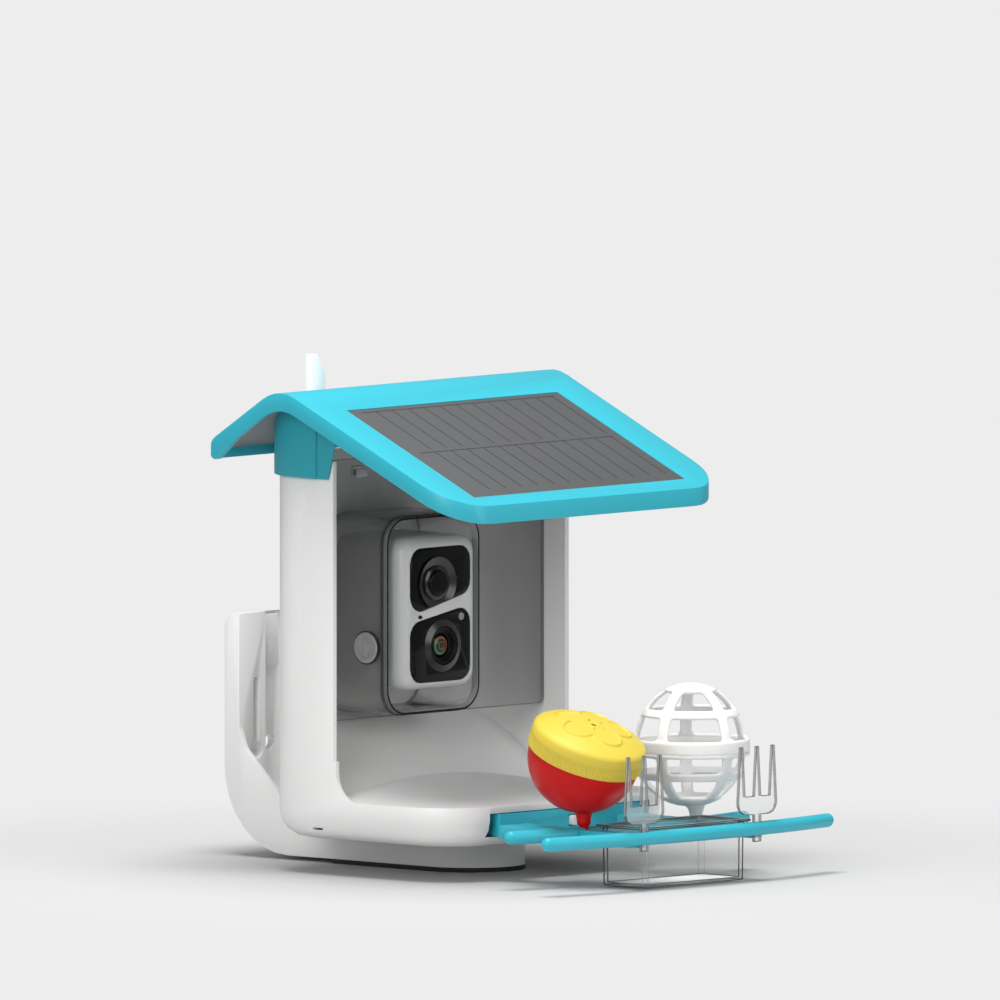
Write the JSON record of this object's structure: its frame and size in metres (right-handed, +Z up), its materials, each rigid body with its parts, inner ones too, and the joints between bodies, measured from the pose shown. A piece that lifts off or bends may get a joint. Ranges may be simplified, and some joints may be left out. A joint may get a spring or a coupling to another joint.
{
  "type": "bird feeder",
  "caption": "Bird feeder on a wall bracket: solar saddle roof, clear seed bin with a camera, curved perch bars, jelly cup, fruit forks, nectar bowl and suet cage.",
  "frame": {"origin": "centre of the bracket's round foot, on the underside of its rubber pad", "axes": "+X to the feeder's left side as seen from the front, -Y towards the open tray and perch, +Z up"},
  "size_m": [0.2266, 0.3318, 0.2722],
  "materials": {
    "rubber": "matt moulded",
    "white_plastic": "satin moulded",
    "teal_plastic": "satin moulded",
    "grey_plastic": "matt moulded",
    "clear_plastic": "clear polished acrylic",
    "black_gloss": "gloss black",
    "lens_glass": "coated lens",
    "solar_cells": "matt laminated cells",
    "red_plastic": "gloss moulded",
    "yellow_plastic": "satin moulded",
    "steel": "zinc plated",
    "circuit_board": "solder mask",
    "battery_wrap": "shrink wrap"
  },
  "bodies": {
    "feeder": {"base_pad": "rubber", "wall_bracket": "white_plastic", "foot_screw": "steel", "housing": "white_plastic", "left_hinge_pin": "steel", "right_hinge_pin": "steel", "seed_ramp": "grey_plastic", "front_panel": "clear_plastic", "window_bezel": "black_gloss", "camera_tunnel": "clear_plastic", "camera_shell": "white_plastic", "upper_window": "black_gloss", "lower_window": "black_gloss", "motion_sensor": "black_gloss", "light_sensor": "clear_plastic", "lens_barrel": "black_gloss", "lens_glass": "lens_glass", "circuit_board": "circuit_board", "battery_pack": "battery_wrap", "camera_back_cover": "white_plastic", "antenna_pin": "steel"},
    "roof": {"roof_shell": "teal_plastic", "solar_panel": "solar_cells", "roof_liner": "grey_plastic", "left_cheek": "teal_plastic", "right_cheek": "teal_plastic"},
    "perch": {"perch_carrier": "teal_plastic", "back_perch_bar": "teal_plastic", "front_perch_bar": "teal_plastic", "jelly_cup": "clear_plastic"},
    "lock_knob": {"camera_lock_knob": "clear_plastic"},
    "power_key": {"power_button": "rubber"},
    "port_cover": {"charge_port_cover": "rubber"},
    "antenna": {"antenna": "white_plastic"},
    "release_key": {"perch_release_button": "white_plastic"},
    "left_fork": {"left_fork": "clear_plastic"},
    "right_fork": {"right_fork": "clear_plastic"},
    "nectar_bowl": {"nectar_bowl": "red_plastic"},
    "nectar_cap": {"nectar_cap": "yellow_plastic"},
    "suet_base": {"suet_cage_base": "white_plastic"},
    "suet_lid": {"suet_cage_lid": "white_plastic"}
  },
  "joints": [
    {"name": "roof_hinge", "type": "hinge", "parent": "feeder", "child": "roof", "pos_m": [0, 0.084, 0.224], "axis": [-1, 0, 0], "range_deg": [0, 75]},
    {"name": "antenna_fold", "type": "hinge", "parent": "feeder", "child": "antenna", "pos_m": [0, 0.1152, 0.169], "axis": [-1, 0, 0], "range_deg": [0, 90]},
    {"name": "camera_lock_turn", "type": "hinge", "parent": "feeder", "child": "lock_knob", "pos_m": [-0.0385, 0.0403, 0.1195], "axis": [1, 0, 0], "range_deg": [0, 90]},
    {"name": "power_button_press", "type": "slide", "parent": "feeder", "child": "power_key", "axis": [0, -1, 0], "range_m": [0, 0.001], "stiffness_N_per_m": 300},
    {"name": "port_cover_flap", "type": "hinge", "parent": "feeder", "child": "port_cover", "pos_m": [-0.014, 0.1112, 0.124], "axis": [-1, 0, 0], "range_deg": [0, 90]},
    {"name": "perch_slide", "type": "slide", "parent": "feeder", "child": "perch", "axis": [0, -1, 0], "range_m": [0, 0.024]},
    {"name": "perch_release", "type": "slide", "parent": "perch", "child": "release_key", "axis": [0, 1, 0], "range_m": [0, 0.0015], "stiffness_N_per_m": 300},
    {"name": "left_fork_lift", "type": "slide", "parent": "perch", "child": "left_fork", "axis": [0, 0, 1], "range_m": [0, 0.012]},
    {"name": "right_fork_lift", "type": "slide", "parent": "perch", "child": "right_fork", "axis": [0, 0, 1], "range_m": [0, 0.012]},
    {"name": "nectar_lift", "type": "slide", "parent": "perch", "child": "nectar_bowl", "axis": [0, 0, 1], "range_m": [0, 0.012]},
    {"name": "suet_lift", "type": "slide", "parent": "perch", "child": "suet_base", "axis": [0, 0, 1], "range_m": [0, 0.012]},
    {"name": "nectar_cap_turn", "type": "hinge", "parent": "nectar_bowl", "child": "nectar_cap", "pos_m": [-0.044, -0.12658, 0.07], "axis": [0, -0.3827, 0.9239], "range_deg": [0, 90]},
    {"name": "suet_lid_turn", "type": "hinge", "parent": "suet_base", "child": "suet_lid", "pos_m": [0.044, -0.12258, 0.0678], "axis": [0, 0, 1], "range_deg": [0, 72]}
  ]
}
